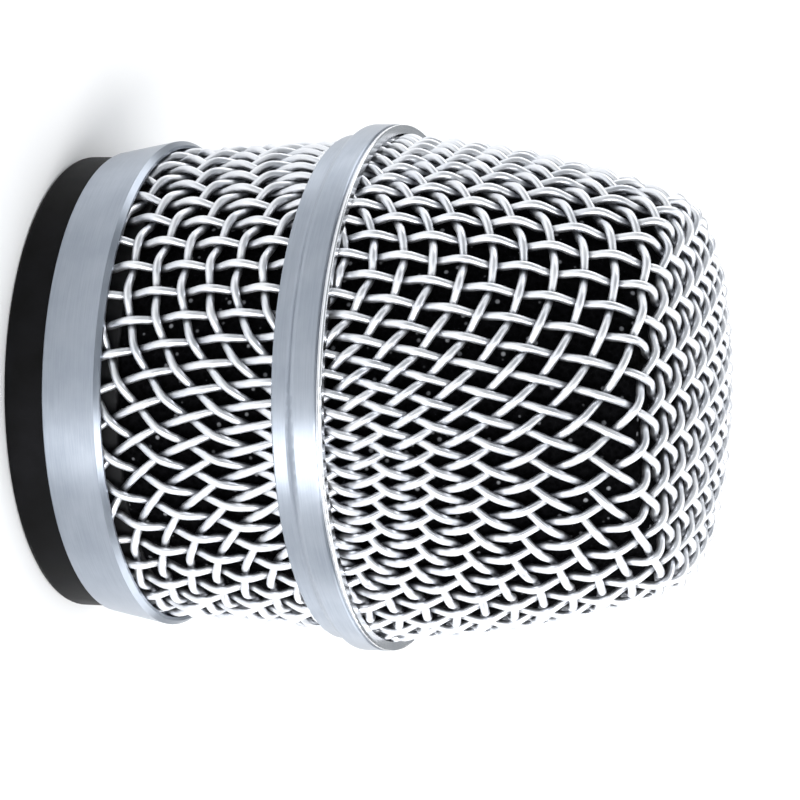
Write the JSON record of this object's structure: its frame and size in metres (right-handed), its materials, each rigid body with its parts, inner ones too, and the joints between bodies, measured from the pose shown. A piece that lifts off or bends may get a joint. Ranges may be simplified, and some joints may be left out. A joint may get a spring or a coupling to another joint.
{
  "type": "microphone pop filter",
  "caption": "Screw-on woven-wire grille head with foam liners, the built-in pop filter of a handheld microphone, on its threaded neck ring.",
  "frame": {"origin": "centre of the neck ring's flat end face, the lowest point of the part", "axes": "+Z along the head's axis, from the neck ring towards the domed front of the mesh; X and Y are equivalent"},
  "size_m": [0.051, 0.051, 0.0634],
  "materials": {
    "black_neck": "satin black",
    "black_rubber": "matte",
    "white_nylon": "matte",
    "satin_silver": "satin plated",
    "plated_brass": "machined",
    "black_steel": "blackened, matte",
    "mesh_wire": "bright drawn wire",
    "bright_lip": "bright",
    "black_foam": "open-cell foam, matte",
    "black_plastic": "matte"
  },
  "bodies": {
    "neck": {"neck_ring": "black_neck", "seal_ring": "black_rubber"},
    "washer": {"slip_washer": "white_nylon"},
    "head": {"base_collar": "satin_silver", "thread_bush": "plated_brass", "rear_clamp_ring": "black_steel", "rear_mesh": "mesh_wire", "mid_band": "satin_silver", "band_lip_ring": "bright_lip", "band_inner_ring": "black_steel", "front_mesh": "mesh_wire", "front_foam": "black_foam", "rear_foam": "black_foam", "foam_hoop": "black_plastic"}
  },
  "joints": [
    {"name": "head_travel", "type": "slide", "parent": "neck", "child": "washer", "axis": [0, 0, 1], "range_m": [0, 0.00438]},
    {"name": "head_unscrew", "type": "hinge", "parent": "washer", "child": "head", "pos_m": [0, 0, 0.0066], "axis": [0, 0, 1], "range_deg": [0, 1260]}
  ],
  "couplings": [
    {"joint": "head_travel", "follows": "head_unscrew", "m_per_rad": 0.00019894}
  ]
}
